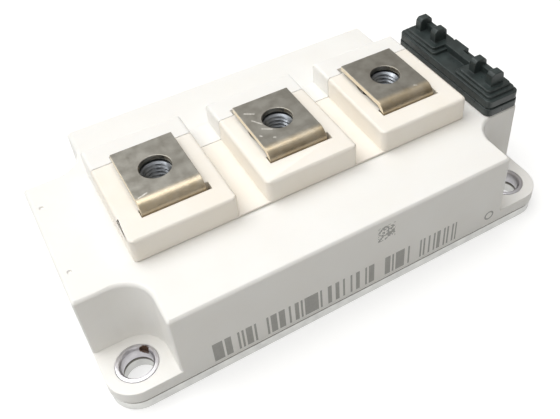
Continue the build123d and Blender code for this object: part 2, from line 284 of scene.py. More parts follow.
@dataclass(frozen=True)
class MouldedPBT(Finish):
    """Glass-filled PBT polyester, injection moulded in a spark-eroded mould.

    To the eye it is a warm white with a satin, slightly pebbled skin, a little light inside it,
    and faint clouds where the melt flowed.
    """

    light: str = "#F6F5F1"
    shade: str = "#F4F2ED"
    grime: str = "#DDD7CA"
    grime_share: str = "#303030"
    roughness: float = 0.42
    gloss_patch: float = 4.0
    flow: float = 11.0
    speck: float = 1.6
    edge: float = 0.3
    wave: float = 6.0       # slow waves of the skin, where the plastic shrank
    wave_depth: float = 0.02
    grain: float = 0.3      # real grain is about 0.05 mm, drawn coarser so that it shows
    grain_depth: float = 0.012
    ior: float = 1.55
    inner_light: float = 0.08
    inner_reach: float = 0.8
    inner_tint: Triple = (1.0, 0.9, 0.75)

    def colour(self, graph: Graph, place: NodeSocket) -> NodeSocket:
        """Give the plastic's colour, with its flow clouds and a few faint specks of grime.

        Args:
            graph: the material's nodes.
            place: where it is read.

        Returns:
            The colour.
        """
        clouds = graph.ramp(graph.noise(place, self.flow), (0.3, self.light), (0.7, self.shade))
        specks = graph.noise(place, self.speck, 5.0)
        share = graph.ramp(specks, (0.66, "#000000"), (0.74, self.grime_share))
        return graph.blend(share, clouds, self.grime)

    def surface(self, graph: Graph) -> Node:
        """Build the plastic: clouded colour, pebbled skin and satin gloss.

        Args:
            graph: the material's nodes.

        Returns:
            The shader.
        """
        place = graph.place()
        waves = graph.noise(place, self.wave, 1.0)
        normal = graph.bump(waves, self.wave_depth, graph.soft_edges(self.edge))
        normal = graph.bump(graph.noise(place, self.grain, 2.0), self.grain_depth, normal)
        patches = graph.noise(place, self.gloss_patch)
        rough = graph.levels(patches, self.roughness - 0.05, self.roughness + 0.06)
        settings = {
            "IOR": self.ior,
            "Subsurface Weight": self.inner_light,
            "Subsurface Radius": self.inner_tint,
            "Subsurface Scale": self.inner_reach * MM,
        }
        links = {"Base Color": self.colour(graph, place), "Roughness": rough, "Normal": normal}
        return graph.add("ShaderNodeBsdfPrincipled", settings, links)


@dataclass(frozen=True)
class MarkedPBT(MouldedPBT):
    """The same PBT with plain laser marks on its front wall: a strip of bars, a dotted square and a ring.

    The laser chars the skin to a soft grey without any depth, so the marks only change the colour.
    They stand for no code: the bars and dots come from a noise pattern.
    """

    mark: str = "#94938F"
    mark_light: str = "#A2A19C"
    mark_cloud: float = 0.5
    cover: float = 0.9      # how much of the plastic's own colour a mark hides
    wall_y: float = -30.6
    strip: Quad = (-33.0, 26.6, 4.1, 9.8)
    bar: float = 0.46
    bars_bare: float = 0.48
    square: Quad = (5.4, 9.6, 15.9, 20.1)
    dot: float = 0.35
    dots_bare: float = 0.5
    ring: Quad = (36.1, 6.3, 1.1, 0.42)

    def within(self, graph: Graph, value: NodeSocket, low: float, high: float) -> NodeSocket:
        """Give 1 where a place lies between two marks in millimetres, and 0 elsewhere."""
        return graph.math("COMPARE", value, (low + high) / 2 * MM, (high - low) / 2 * MM)

    def dots(self, graph: Graph, *places: NodeSocket, size: float, share: float) -> NodeSocket:
        """Give 1 in cells picked by a fixed noise, and 0 in the others.

        Args:
            graph: the material's nodes.
            places: one place for bars, two for dots.
            size: width of a cell, in millimetres.
            share: part of the cells that stays bare.

        Returns:
            The pattern.
        """
        steps = [graph.math("FLOOR", graph.math("MULTIPLY", place, per_mm(size))) for place in places]
        cell = graph.add("ShaderNodeCombineXYZ", links=dict(zip("XYZ", steps))).outputs[0]
        noise = graph.add("ShaderNodeTexWhiteNoise", links={"Vector": cell}).outputs["Value"]
        return graph.math("GREATER_THAN", noise, share)

    def cut_out(
        self, graph: Graph, pattern: NodeSocket, axes: Mapping[str, NodeSocket], area: Sequence[float]
    ) -> NodeSocket:
        """Keep a pattern only inside an area of the wall.

        Args:
            graph: the material's nodes.
            pattern: the bars or the dots.
            axes: X, Y and Z of the place where it is read.
            area: its left, right, low and high side, in millimetres.

        Returns:
            The pattern, with 0 outside the area.
        """
        left, right, low, high = area
        pattern = graph.math("MULTIPLY", pattern, self.within(graph, axes["X"], left, right))
        return graph.math("MULTIPLY", pattern, self.within(graph, axes["Z"], low, high))

    def circle(self, graph: Graph, axes: Mapping[str, NodeSocket]) -> NodeSocket:
        """Give the ring.

        Args:
            graph: the material's nodes.
            axes: X, Y and Z of the place where it is read.

        Returns:
            1 on the ring's line, 0 elsewhere.
        """
        centre_x, centre_z, radius, line = self.ring
        across = graph.math("SUBTRACT", axes["X"], centre_x * MM)
        up = graph.math("SUBTRACT", axes["Z"], centre_z * MM)
        squares = [graph.math("MULTIPLY", gap, gap) for gap in (across, up)]
        reach = graph.math("SQRT", graph.math("ADD", *squares))
        return graph.math("COMPARE", reach, radius * MM, line / 2 * MM)

    def colour(self, graph: Graph, place: NodeSocket) -> NodeSocket:
        """Give the plastic's colour with the laser marks on it.

        Args:
            graph: the material's nodes.
            place: where it is read.

        Returns:
            The colour.
        """
        plain = super().colour(graph, place)
        axes = graph.axes(place)
        bars = self.dots(graph, axes["X"], size=self.bar, share=self.bars_bare)
        dots = self.dots(graph, axes["X"], axes["Z"], size=self.dot, share=self.dots_bare)
        bars = self.cut_out(graph, bars, axes, self.strip)
        dots = self.cut_out(graph, dots, axes, self.square)
        marks = graph.math("MAXIMUM", graph.math("MAXIMUM", bars, dots), self.circle(graph, axes))
        marks = graph.math("MULTIPLY", marks, graph.math("LESS_THAN", axes["Y"], self.wall_y * MM))
        marks = graph.math("MULTIPLY", marks, self.cover)
        clouds = graph.noise(place, self.mark_cloud)
        return graph.blend(marks, plain, graph.ramp(clouds, (0.3, self.mark), (0.7, self.mark_light)))


@dataclass(frozen=True)
class NickelPlatedCopper(Finish):
    """Copper strip, rolled, stamped and nickel plated.

    The rolls leave fine lines along the strip, the bath leaves soft clouds of dull and bright, and handling
    leaves bright rub marks. Along the bend a pale yellow-brown tint is a painted warm reflection, and the
    stamped sides carry a warmer, brighter tone that is partly their own and partly a painted highlight.
    """

    light: str = "#B4B1A8"
    dark: str = "#A29E94"
    # bend_reflection_tint and its light tone: a painted warm reflection laid on the bend, not a colour of the
    # plating
    bend_reflection_tint: str = "#C2B090"
    bend_reflection_tint_light: str = "#D3C5AC"
    # cut and cut_light: the stamped sides' warmer tone, made much brighter than the faces as a painted
    # highlight of the rounded edges
    cut: str = "#E9DCC2"
    cut_light: str = "#F1E7D3"
    rubbed: str = "#E9E6DE"
    rubbed_light: str = "#F6F4EE"
    roughness: float = 0.3
    cloud: float = 2.6
    patch: float = 0.9
    line: float = 0.4       # real rolling lines are finer, drawn coarser so that they show
    stretch: Triple = (1.0, 0.04, 1.0)      # the strip was rolled along Y
    side: float = 0.8       # a face whose normal's X is more than this is a stamped side
    bend_start: float = -6.3
    bend_end: float = -7.6
    rub_width: float = 0.24
    rub_core: float = 0.3       # of the width, rubbed through
    rub_grain: float = 0.45
    rub_rough: float = 0.25
    rubs: tuple[tuple[tuple[float, float], tuple[float, float]], ...] = (
        ((-34.4, -6.7), (-32.6, -6.2)),
        ((-5.5, 2.0), (-4.2, -0.1)),
        ((-4.9, -1.5), (-3.1, -2.7)),
        ((-5.9, 5.0), (-4.1, 3.8)),
        ((-6.3, -3.3), (-6.0, -3.6)),
        ((-4.0, -5.2), (-3.7, -5.4)),
        ((30.8, -6.7), (31.3, -7.0)),
    )

    def stroke(
        self, graph: Graph, flat: NodeSocket, start: Sequence[float], end: Sequence[float]
    ) -> NodeSocket:
        """Give one straight rub mark, ragged and fading at its sides.

        Args:
            graph: the material's nodes.
            flat: the place with its height taken out.
            start: where the mark starts, in millimetres.
            end: where it ends.

        Returns:
            1 on the mark, 0 elsewhere.
        """
        foot = Vector((*start, 0.0)) * MM
        run = Vector((*end, 0.0)) * MM - foot
        away = graph.add("ShaderNodeVectorMath", {"operation": "SUBTRACT", 1: foot}, {0: flat}).outputs[0]
        settings = {"operation": "DOT_PRODUCT", 1: run / run.length_squared}
        along = graph.add("ShaderNodeVectorMath", settings, {0: away}).outputs["Value"]
        along = graph.add("ShaderNodeClamp", links={"Value": along}).outputs[0]
        reached = graph.add("ShaderNodeVectorMath", {"operation": "SCALE", 0: run}, {"Scale": along})
        ends = {0: away, 1: reached.outputs[0]}
        gap = graph.add("ShaderNodeVectorMath", {"operation": "DISTANCE"}, ends).outputs["Value"]
        return graph.rise(gap, self.rub_width, self.rub_core * self.rub_width)

    def wear(self, graph: Graph, place: NodeSocket) -> NodeSocket:
        """Put the rub marks of the three plates together.

        Args:
            graph: the material's nodes.
            place: where they are read.

        Returns:
            1 where the plating is rubbed bright, 0 elsewhere.
        """
        settings = {"operation": "MULTIPLY", 1: (1.0, 1.0, 0.0)}
        flat = graph.add("ShaderNodeVectorMath", settings, {0: place}).outputs[0]
        rubbed = None
        for start, end in self.rubs:
            mark = self.stroke(graph, flat, start, end)
            rubbed = mark if rubbed is None else graph.math("MAXIMUM", rubbed, mark)
        ragged = graph.levels(graph.noise(place, self.rub_grain), 0.35, 1.0)
        return graph.math("MULTIPLY", rubbed, ragged)

    def surface(self, graph: Graph) -> Node:
        """Build the plating: rolling lines, clouds, rub marks, the painted reflection on the bend and the
        painted highlight on the stamped sides.

        Args:
            graph: the material's nodes.

        Returns:
            The shader.
        """
        place = graph.place()
        lines = graph.noise(graph.stretched(place, self.stretch), self.line, 1.0)
        clouds = graph.noise(place, self.cloud)
        patches = graph.noise(place, self.patch)
        colour = graph.ramp(clouds, (0.32, self.dark), (0.66, self.light))
        # painted reflection: the bend's tint is laid on by place along Y, where the bend would mirror warm
        # surroundings
        bend = graph.rise(graph.axes(place)["Y"], self.bend_start, self.bend_end)
        bend = graph.math("MULTIPLY", bend, graph.levels(patches, 0.7, 1.0))
        bend_reflection_tint = graph.ramp(clouds, (0.3, self.bend_reflection_tint), (0.7, self.bend_reflection_tint_light))
        colour = graph.blend(bend, colour, bend_reflection_tint)
        # sides picked by their normal get the bright cut colour: partly their own tone, partly a painted
        # highlight
        normal = graph.add("ShaderNodeNewGeometry").outputs["True Normal"]
        across = graph.math("ABSOLUTE", graph.axes(normal)["X"])
        stamped = graph.ramp(patches, (0.3, self.cut), (0.7, self.cut_light))
        colour = graph.blend(graph.math("GREATER_THAN", across, self.side), colour, stamped)
        worn = self.wear(graph, place)
        bright = graph.ramp(patches, (0.3, self.rubbed), (0.7, self.rubbed_light))
        rough = graph.levels(clouds, self.roughness, self.roughness + 0.1)
        rough = graph.math("ADD", rough, graph.levels(lines, -0.01, 0.04))
        rough = graph.math("ADD", rough, graph.math("MULTIPLY", worn, self.rub_rough))
        links = {"Base Color": graph.blend(worn, colour, bright), "Roughness": rough}
        return graph.add("ShaderNodeBsdfPrincipled", {"Metallic": 1.0}, links)


@dataclass(frozen=True)
class PlainMetal(Finish):
    """A metal part with one way of being made, from a light and a dark tone of the same metal.

    Clouds a few millimetres wide carry the tone and the gloss, and a stretched grain shows how it was worked.
    """

    light: str = "#C9CBCD"
    dark: str = "#A9ABAE"
    roughness: float = 0.3
    cloud: float = 3.0
    gloss_cloud: float = 0.6        # of the tone clouds' width
    grain: float = 0.15
    stretch: Triple = (1.0, 1.0, 1.0)
    depth: float = 0.004

    def colour(self, graph: Graph, place: NodeSocket) -> NodeSocket:
        """Give the metal's clouded colour."""
        return graph.ramp(graph.noise(place, self.cloud, 4.0), (0.32, self.dark), (0.68, self.light))

    def surface(self, graph: Graph) -> Node:
        """Build the metal: clouded tone, uneven gloss and a worked grain.

        Args:
            graph: the material's nodes.

        Returns:
            The shader.
        """
        place = graph.place()
        grain = graph.noise(graph.stretched(place, self.stretch), self.grain)
        clouds = graph.noise(place, self.cloud * self.gloss_cloud, 4.0)
        rough = graph.levels(clouds, self.roughness - 0.05, self.roughness + 0.1)
        links = {
            "Base Color": self.colour(graph, place),
            "Roughness": rough,
            "Normal": graph.bump(grain, self.depth),
        }
        return graph.add("ShaderNodeBsdfPrincipled", {"Metallic": 1.0}, links)


@dataclass(frozen=True)
class SealedBase(PlainMetal):
    """The nickel-plated base plate, with a dark line of adhesive and grease along the seam under the housing,
    deepened as a painted shadow.
    """

    light: str = "#DFDFDC"
    dark: str = "#CFCFCD"
    roughness: float = 0.4
    grain: float = 0.2
    stretch: Triple = (0.05, 1.0, 1.0)      # ground along X
    joint_glue_and_shadow: str = "#5E5C57"
    joint_glue_and_shadow_light: str = "#77746D"
    joint_cloud: float = 2.0
    joint_from: float = 2.3
    joint_full: float = 2.45

    def colour(self, graph: Graph, place: NodeSocket) -> NodeSocket:
        """Give the nickel's colour, darkened along the seam by adhesive and by a painted shadow.

        Args:
            graph: the material's nodes.
            place: where it is read.

        Returns:
            The colour.
        """
        nickel = super().colour(graph, place)
        # painted shadow: a darker band near the plate's top, under the housing's edge, partly adhesive and
        # partly shade
        share = graph.rise(graph.axes(place)["Z"], self.joint_from, self.joint_full)
        clouds = graph.noise(place, self.joint_cloud)
        glue_and_shadow = graph.ramp(clouds, (0.3, self.joint_glue_and_shadow), (0.7, self.joint_glue_and_shadow_light))
        return graph.blend(share, nickel, glue_and_shadow)


@dataclass(frozen=True)
class StainedSleeveSteel(PlainMetal):
    """Turned and zinc-plated steel with one brown stain, where a screw's grease has burnt on by the bore."""

    stain: str = "#4A3A33"
    stain_light: str = "#6A5245"
    stain_cloud: float = 0.5
    stain_at: Triple = (-44.3, -21.9, 5.9)
    stain_size: float = 1.25
    stain_core: float = 0.75        # of the size, fully brown
    fringe: float = 0.35            # how far its rim wanders
    fringe_wave: float = 0.9

    def colour(self, graph: Graph, place: NodeSocket) -> NodeSocket:
        """Give the zinc's colour, with the stain laid over it.

        Args:
            graph: the material's nodes.
            place: where it is read.

        Returns:
            The colour.
        """
        zinc = super().colour(graph, place)
        spot = tuple(value * MM for value in self.stain_at)
        settings = {"operation": "DISTANCE", 1: spot}
        gap = graph.add("ShaderNodeVectorMath", settings, {0: place}).outputs["Value"]
        waves = graph.noise(place, self.fringe_wave, 4.0)
        gap = graph.math("ADD", gap, graph.levels(waves, -self.fringe * MM, self.fringe * MM))
        share = graph.rise(gap, self.stain_size, self.stain_core * self.stain_size)
        clouds = graph.noise(place, self.stain_cloud)
        brown = graph.ramp(clouds, (0.3, self.stain), (0.7, self.stain_light))
        return graph.blend(share, zinc, brown)


@dataclass(frozen=True)
class ConductivePlastic(Finish):
    """Carbon-filled polypropylene, moulded for a cover that keeps static off the tabs.

    The carbon makes it a dull blue-black with a grey bloom and a slightly rough skin.
    """

    light: str = "#3A4342"
    dark: str = "#262D2C"
    bloom: float = 3.5
    roughness: float = 0.34
    gloss_patch: float = 1.5
    edge: float = 0.28
    grain: float = 0.28
    grain_depth: float = 0.015
    ior: float = 1.5

    def surface(self, graph: Graph) -> Node:
        """Build the black plastic: bloom, satin gloss and mould grain.

        Args:
            graph: the material's nodes.

        Returns:
            The shader.
        """
        place = graph.place()
        colour = graph.ramp(graph.noise(place, self.bloom, 4.0), (0.3, self.dark), (0.72, self.light))
        patches = graph.noise(place, self.gloss_patch)
        rough = graph.levels(patches, self.roughness - 0.07, self.roughness + 0.08)
        grain = graph.noise(place, self.grain, 2.0)
        normal = graph.bump(grain, self.grain_depth, graph.soft_edges(self.edge))
        links = {"Base Color": colour, "Roughness": rough, "Normal": normal}
        return graph.add("ShaderNodeBsdfPrincipled", {"IOR": self.ior}, links)


@dataclass(frozen=True)
class PlainSolid(Finish):
    """A material without metal gloss, such as alumina, a silicon chip or a wire's sleeve.

    Two tones of one colour in clouds of its own grain size, with the gloss that its surface has.
    """

    light: str = "#F0EDE6"
    dark: str = "#E4E0D6"
    roughness: float = 0.4
    gloss_patch: float = 2.0
    ior: float = 1.5
    grain: float = 0.4
    depth: float = 0.006
    transmission: float = 0.0

    def surface(self, graph: Graph) -> Node:
        """Build the solid: grained colour, gloss and a fine skin.

        Args:
            graph: the material's nodes.

        Returns:
            The shader.
        """
        place = graph.place()
        grain = graph.noise(place, self.grain)
        colour = graph.ramp(grain, (0.3, self.dark), (0.7, self.light))
        patches = graph.noise(place, self.gloss_patch)
        rough = graph.levels(patches, self.roughness - 0.04, self.roughness + 0.05)
        links = {"Base Color": colour, "Roughness": rough, "Normal": graph.bump(grain, self.depth)}
        settings = {"IOR": self.ior, "Transmission Weight": self.transmission}
        return graph.add("ShaderNodeBsdfPrincipled", settings, links)


@dataclass(frozen=True)
class MattPaper(Finish):
    """Matt paper for the floor, with a light of its own that makes it white to the eye where it is lit."""

    colour: str = "#BDBDBB"
    lift: float = 0.62

    def surface(self, graph: Graph) -> Node:
        """Build the paper: a matt reflection, and the lift that only lines of sight get.

        Args:
            graph: the material's nodes.

        Returns:
            The shader.
        """
        rays = graph.add("ShaderNodeLightPath").outputs
        seen = graph.math("ADD", rays["Is Camera Ray"], rays["Is Glossy Ray"])
        seen = graph.math("MINIMUM", graph.math("ADD", seen, rays["Is Transmission Ray"]), 1.0)
        strength = {"Strength": graph.math("MULTIPLY", seen, self.lift)}
        lift = graph.add("ShaderNodeEmission", {"Color": linear("#FFFFFF")}, strength)
        paper = graph.add("ShaderNodeBsdfDiffuse", {"Color": linear(self.colour)})
        return graph.add("ShaderNodeAddShader", links={0: paper.outputs[0], 1: lift.outputs[0]})


def dress(thing: Object, material: Material) -> None:
    """Put one material on a piece or on a carried node.

    Args:
        thing: the piece or node.
        material: its finish.
    """
    if not thing.material_slots:
        thing.data.materials.append(material)
    for slot in thing.material_slots:
        slot.material = material


def new_piece(name: str, shape: BMesh, sharp: float) -> Object:
    """Make an object from a finished mesh, shaded smooth up to an angle.

    Args:
        name: the piece's name.
        shape: its mesh, which is freed.
        sharp: angle in degrees above which an edge stays sharp.

    Returns:
        The new object, linked to the scene.
    """
    mesh = bpy.data.meshes.new(name)
    shape.to_mesh(mesh)
    shape.free()
    mesh.shade_smooth()
    mesh.set_sharp_from_angle(angle=math.radians(sharp))
    piece = bpy.data.objects.new(name, mesh)
    bpy.context.scene.collection.objects.link(piece)
    return piece


def stand_in(piece: Object, node: str, material: Material) -> Object:
    """Dress a piece and put it in a node's place, on the object's body.

    Args:
        piece: the new piece.
        node: name of the node that it replaces.
        material: its finish.

    Returns:
        The piece.
    """
    dress(piece, material)
    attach(piece, BODY)
    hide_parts(node)
    return piece


def ring(middle: Vector, foot: float, reaches: Sequence[float], heights: Sequence[float]) -> list[Vector]:
    """Place evenly turned points round an upright axis.

    Args:
        middle: a point on the axis, in metres.
        foot: the level that heights count from, in metres.
        reaches: each point's distance from the axis, in millimetres.
        heights: each point's height, in millimetres.

    Returns:
        The points, in metres.
    """
    points = []
    for step, (reach, height) in enumerate(zip(reaches, heights)):
        angle = 2 * math.pi * step / len(reaches)
        across, along = reach * MM * math.cos(angle), reach * MM * math.sin(angle)
        points.append(Vector((middle.x + across, middle.y + along, foot + height * MM)))
    return points


def joined(rings: Sequence[Sequence[Vector]]) -> BMesh:
    """Join rings of points into one closed skin, from each ring to the next and from the last to the first.

    Args:
        rings: rings with the same number of points.

    Returns:
        The mesh, with its faces turned outwards.
    """
    shape = bmesh.new()
    rows = [[shape.verts.new(point) for point in points] for points in rings]
    for lower, upper in zip(rows, [*rows[1:], rows[0]]):
        for number in range(len(lower)):
            after = (number + 1) % len(lower)
            shape.faces.new((lower[number], lower[after], upper[after], upper[number]))
    bmesh.ops.recalc_face_normals(shape, faces=shape.faces)
    return shape


def turn_between(edge: BMEdge) -> float:
    """Give how sharply the skin turns at an edge, in degrees, or 0 where it has no two faces."""
    return math.degrees(edge.calc_face_angle(0.0)) if len(edge.link_faces) == 2 else 0.0


def room_beside(edge: BMEdge) -> float:
    """Find how much room an edge has for a round, so that no round runs into the next one.

    Args:
        edge: the edge.

    Returns:
        Length in metres of the shortest edge that leads away from it on its two faces.
    """
    along = (edge.verts[1].co - edge.verts[0].co).normalized()
    lengths = []
    for loop in edge.link_loops:
        for other in (loop.link_loop_next.edge, loop.link_loop_prev.edge):
            way = (other.verts[1].co - other.verts[0].co).normalized()
            if abs(along.dot(way)) < ALONG:
                lengths.append(other.calc_length())
    return min(lengths, default=0.0)


def edges_to_round(shape: BMesh, low: float, high: float, radius: float) -> list[BMEdge]:
    """Pick the outer edges that turn by a given amount and can take a round without folding the skin.

    Args:
        shape: the mesh.
        low: an edge turns more than this, in degrees.
        high: and at most this.
        radius: of the round, in millimetres.

    Returns:
        The edges, without those that are too close to the next edge or end in an inner corner.
    """
    picked = {
        edge for edge in shape.edges
        if edge.is_convex and low < turn_between(edge) <= high and room_beside(edge) > ROOM * radius * MM
    }
    inner = {edge for edge in shape.edges if not edge.is_convex and turn_between(edge) > SHARP}
    return [
        edge for edge in picked if not any(other in inner for end in edge.verts for other in end.link_edges)
    ]


def even_normals(shape: BMesh, limit: float = 50.0) -> list[Vector]:
    """Work out shading normals that keep flat faces flat and let the narrow rounds turn between them.

    Args:
        shape: the mesh.
        limit: faces that turn further than this from each other are not blended, in degrees.

    Returns:
        One normal for each corner of each face, in the mesh's own order.
    """
    shape.normal_update()
    areas = {face: face.calc_area() for face in shape.faces}
    widest = math.radians(limit)
    normals = []
    for face in shape.faces:
        for corner in face.loops:
            near = [other for other in corner.vert.link_faces if other.normal.angle(face.normal) < widest]
            normals.append(sum((other.normal * areas[other] for other in near), Vector()).normalized())
    return normals


@dataclass(frozen=True)
class Move:
    """A shift of the points in a box, for a wall that stands elsewhere than in the node."""

    low: Vector
    high: Vector
    shift: Vector

    def holds(self, point: Vector) -> bool:
        """Tell whether a point lies in the box."""
        return all(least <= value <= most for least, value, most in zip(self.low, point, self.high))


def skin(
    node: Object,
    name: str,
    edge: Edge,
    material: Material,
    moves: Sequence[Move] = (),
) -> Object:
    """Make a piece from a node's own shape with its bevels and corners rounded, in place of the node.

    Args:
        node: the CAD node, which stays as it is.
        name: the piece's name.
        edge: how its edges were made.
        material: its finish.
        moves: shifts of its points, made before the rounds.

    Returns:
        The new piece, on the object's body.
    """
    bevel_round, corner_round = edge.value
    shape = bmesh.new()
    shape.from_mesh(node.data)
    bmesh.ops.remove_doubles(shape, verts=shape.verts, dist=WELD * MM)
    bmesh.ops.dissolve_limit(
        shape, angle_limit=math.radians(FLAT), verts=shape.verts, edges=shape.edges,
        use_dissolve_boundaries=False)
    for move in moves:
        for vert in shape.verts:
            if move.holds(vert.co):
                vert.co += move.shift
    for low, high, radius, steps in ((SHARP, STEEP, bevel_round, 3), (STEEP, SMOOTH, corner_round, 2)):
        bmesh.ops.bevel(
            shape, geom=edges_to_round(shape, low, high, radius), offset=radius * MM, offset_type="OFFSET",
            segments=steps, profile=0.5, affect="EDGES", clamp_overlap=False, loop_slide=False)
    bmesh.ops.recalc_face_normals(shape, faces=shape.faces)
    normals = even_normals(shape)
    piece = new_piece(name, shape, SMOOTH)
    piece.data.normals_split_custom_set(normals)
    return stand_in(piece, node.name, material)


@dataclass
class Housing:
    """The white shell with its flanges, decks and pockets."""

    plastic: MarkedPBT = field(default_factory=lambda: MarkedPBT("moulded_pbt_housing"))
    strips: int = 3
    recess_left: float = 0.9        # of the node's recess, beyond the strip's left edge
    recess_right: float = 0.3
    recess_rear: float = 2.95       # beyond the strip's rear edge
    recess_depth: float = 4.2       # below the strip's top face
    near: float = 0.05              # how far a wall's points may lie from these places
    left_shift: float = 1.05
    rear_shift: float = 0.9

    def narrower_recess(self, low: Vector, high: Vector) -> list[Move]:
        """Bring the walls of the recess behind a strip in to the narrow gap that shows beside its free end.

        Args:
            low: lowest corner of the strip's node, in metres.
            high: highest corner.

        Returns:
            The moves of the left wall and of the rear wall.
        """
        left, rear = low.x / MM - self.recess_left, high.y / MM + self.recess_rear
        right, floor = high.x / MM + self.recess_right, high.z / MM - self.recess_depth
        front, top = high.y / MM, high.z / MM
        walls = (
            ((left, left), (front + self.near, rear), (self.left_shift, 0.0, 0.0)),
            ((left, right), (rear, rear), (0.0, -self.rear_shift, 0.0)),
        )
        return [
            Move(
                Vector((across[0] - self.near, along[0] - self.near, floor - self.near)) * MM,
                Vector((across[1] + self.near, along[1] + self.near, top)) * MM,
                Vector(shift) * MM,
            )
            for across, along, shift in walls
        ]

    def build(self, nodes: Mapping[str, Object]) -> list[Object]:
        """Make the shell from its node.

        Args:
            nodes: the frame's nodes by name.

        Returns:
            The new piece.
        """
        moves = []
        for number in range(1, self.strips + 1):
            moves += self.narrower_recess(*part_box(f"terminal_{number}"))
        white = self.plastic.material()
        return [skin(nodes["housing"], "moulded_shell", Edge.MOULDED, white, moves)]


@dataclass
class SkinnedPart:
    """A part that keeps its node's own shape, with its edges rounded as they were made."""

    node: str
    name: str
    edge: Edge
    slot: str
    finish: Finish
    count: int = 0      # how many numbered ones there are, or 0 for a single one without a number

    def build(self, nodes: Mapping[str, Object]) -> list[Object]:
        """Make the part's pieces from their nodes.

        Args:
            nodes: the frame's nodes by name.

        Returns:
            The new pieces.
        """
        material = self.finish.material()
        ends = [f"_{number}" for number in range(1, self.count + 1)] or [""]
        return [skin(nodes[self.node + end], self.name + end, self.edge, material) for end in ends]


@dataclass
class RingedPart:
    """Numbered parts that are made anew from rings of points, where their nodes lie."""

    node: str
    name: str
    slot: str
    finish: Finish
    count: int
    sharp: float        # edges that turn more than this stay sharp, in degrees
    steps: int = 96

    def rings(self, low: Vector, high: Vector) -> list[list[Vector]]:
        """Work out the rings of one part between the corners of its node's box, in metres."""
        raise NotImplementedError

    def build(self, nodes: Mapping[str, Object]) -> list[Object]:
        """Make the parts.

        Args:
            nodes: the frame's nodes by name.

        Returns:
            The new pieces.
        """
        material = self.finish.material()
        pieces = []
        for number in range(1, self.count + 1):
            node = nodes[f"{self.node}_{number}"].name
            piece = new_piece(f"{self.name}_{number}", joined(self.rings(*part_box(node))), self.sharp)
            pieces.append(stand_in(piece, node, material))
        return pieces


@dataclass
class TerminalNuts(RingedPart):
    """The captive nuts, with a thread form in place of the plain bores."""

    flats: float = 10.0
    bore: float = 2.5
    root: float = 3.0
    pitch: float = 1.0
    countersink: float = 0.5
    mouth_slope: float = 1.3
    chamfer_slope: float = 0.5
    crown: float = 0.15
    flank: float = 0.4      # part of a turn that the thread takes to rise
    valley: float = 0.12    # how much of the rise is cut off at the root
    steps_per_turn: int = 8

    def thread_radius(self, height: float, angle: float) -> float:
        """Give the radius of the thread's wall.

        Args:
            height: above the nut's underside, in millimetres.
            angle: round the bore, in turns.

        Returns:
            The radius in millimetres, between the bore and the root.
        """
        phase = (height / self.pitch - angle) % 1.0
        rise = max(0.0, min(1.0, (0.5 - abs(phase - 0.5)) / self.flank - self.valley))
        return self.root - (self.root - self.bore) * rise

    def rings(self, low: Vector, high: Vector) -> list[list[Vector]]:
        """Work out the rings of one nut, from the thread's foot up, over the crown and down the flats.

        Args:
            low: lowest corner of the node that it stands for, in metres.
            high: highest corner of that node.

        Returns:
            The rings, in metres.
        """
        middle = (low + high) / 2
        height = (high.z - low.z) / MM
        turns = [number / self.steps for number in range(self.steps)]
        rows = round(height / self.pitch * self.steps_per_turn)
        levels = []
        for row in range(rows + 1):
            up = height * row / rows
            mouth = max(0.0, self.countersink - up, self.countersink - (height - up))
            cone = self.bore + self.mouth_slope * mouth
            levels.append(([max(self.thread_radius(up, turn), cone) for turn in turns], [up] * self.steps))
        half = self.flats / 2
        across = [half / math.cos((turn * 6 % 1 - 0.5) * math.pi / 3) for turn in turns]
        corner = [height - (reach - half) * self.chamfer_slope - self.crown * 0.5 for reach in across]
        levels += [
            ([half - self.crown] * self.steps, [height] * self.steps),
            (across, corner),
            (across, [self.crown] * self.steps),
            ([reach - self.crown for reach in across], [0.0] * self.steps),
        ]
        return [ring(middle, low.z, reaches, heights) for reaches, heights in levels]


@dataclass
class FixingSleeves(RingedPart):
    """The four turned sleeves in the corners, with the flared mouth that guides a screw."""

    outer: float = 4.3
    bore: float = 3.2
    flare: float = 0.35
    flare_depth: float = 0.45
    edge: float = 0.12
    throat: float = 0.03    # where the bore starts to widen
    lip: float = 0.04       # the small rounds of the mouth and of the rim

    def rings(self, low: Vector, high: Vector) -> list[list[Vector]]:
        """Work out the rings of one sleeve, up the bore, over the rim and down the outside.

        Args:
            low: lowest corner of the node that it stands for, in metres.
            high: highest corner of that node.

        Returns:
            The rings, in metres.
        """
        height = (high.z - low.z) / MM
        profile = (
            (self.bore, self.edge),
            (self.bore, height - self.flare_depth - self.edge),
            (self.bore + self.throat, height - self.flare_depth),
            (self.bore + self.flare - self.lip, height - 2 * self.lip),
            (self.bore + self.flare + self.lip, height),
            (self.outer - self.edge, height),
            (self.outer - self.lip, height - self.lip),
            (self.outer, height - self.edge),
            (self.outer, self.edge),
            (self.outer - self.edge, 0.0),
            (self.bore + self.edge, 0.0),
        )
        middle = (low + high) / 2
        return [ring(middle, low.z, [radius] * self.steps, [up] * self.steps) for radius, up in profile]


